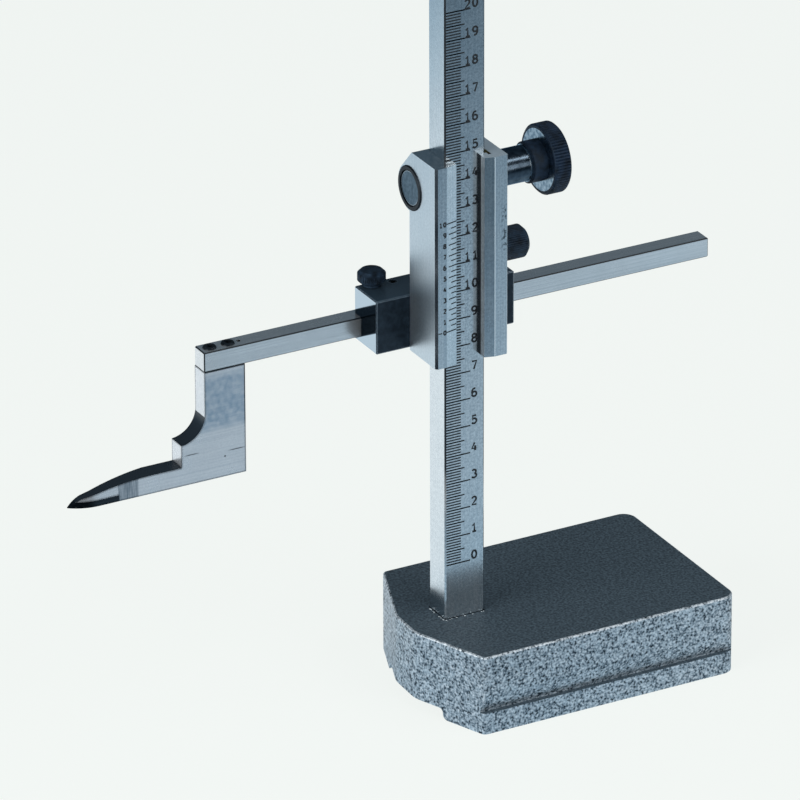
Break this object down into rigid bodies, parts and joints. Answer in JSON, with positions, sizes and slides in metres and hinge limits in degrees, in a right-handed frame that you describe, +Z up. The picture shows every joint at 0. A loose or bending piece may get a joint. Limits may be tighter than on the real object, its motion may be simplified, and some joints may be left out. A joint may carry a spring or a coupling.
{
  "type": "vernier height gauge",
  "caption": "Height gauge: graduated beam on a cast base, vernier slide driven by rack and pinion, cross bar with scriber jaw.",
  "frame": {"origin": "on the beam's axis, in the plane of the underside that the base stands on", "axes": "+Z up along the beam; +X to the right along the base and the cross bar; +Y to the back, towards the rack and the bar"},
  "size_m": [0.2414, 0.0734, 0.3171],
  "materials": {
    "enamel_casting": "hammered blue-grey stoving enamel",
    "satin_chrome_steel": "satin chrome, brushed along Z",
    "ground_steel": "fine ground steel",
    "black_oxide_knobs": "black oxide, satin",
    "black_oxide_holder": "black oxide, ground bright",
    "black_oxide_screws": "black oxide",
    "brass": "milled brass",
    "carbide": "ground tungsten carbide"
  },
  "bodies": {
    "stand": {"base": "enamel_casting", "beam": "satin_chrome_steel", "beam_screws": "black_oxide_screws", "rack": "ground_steel", "rack_screws": "black_oxide_screws", "stop_screw": "black_oxide_screws"},
    "slide": {"slide_body": "satin_chrome_steel", "gib_strip": "brass", "gib_screws": "black_oxide_screws", "lock_pad": "brass", "left_bush": "black_oxide_knobs", "right_bush": "black_oxide_knobs", "drive_washer": "ground_steel", "bar_holder": "black_oxide_holder", "holder_screws": "black_oxide_screws", "clamp_pad": "brass", "bar_grub_screw": "black_oxide_screws"},
    "drive": {"pinion_shaft": "ground_steel", "drive_knob": "black_oxide_knobs", "knob_screw": "black_oxide_screws"},
    "lock": {"lock_screw": "black_oxide_knobs"},
    "bar_clamp": {"bar_clamp_screw": "black_oxide_knobs"},
    "bar": {"cross_bar": "ground_steel", "jaw_screws": "black_oxide_screws", "scriber_jaw": "ground_steel", "carbide_tip": "carbide"}
  },
  "joints": [
    {"name": "slide_travel", "type": "slide", "parent": "stand", "child": "slide", "axis": [0, 0, 1], "range_m": [-0.0886, 0.1114]},
    {"name": "drive_spin", "type": "hinge", "parent": "slide", "child": "drive", "pos_m": [0.03, 0.0072, 0.1836], "axis": [1, 0, 0], "continuous": true},
    {"name": "lock_turn", "type": "hinge", "parent": "slide", "child": "lock", "pos_m": [0.0135, 0, 0.1595], "axis": [1, 0, 0], "range_deg": [0, 360]},
    {"name": "clamp_turn", "type": "hinge", "parent": "slide", "child": "bar_clamp", "pos_m": [-0.0209, 0.0206, 0.1448], "axis": [0, 0, 1], "range_deg": [0, 360]},
    {"name": "bar_slide", "type": "slide", "parent": "slide", "child": "bar", "axis": [1, 0, 0], "range_m": [-0.078, 0.042]}
  ],
  "couplings": [
    {"joint": "drive_spin", "follows": "slide_travel", "rad_per_m": 250}
  ]
}
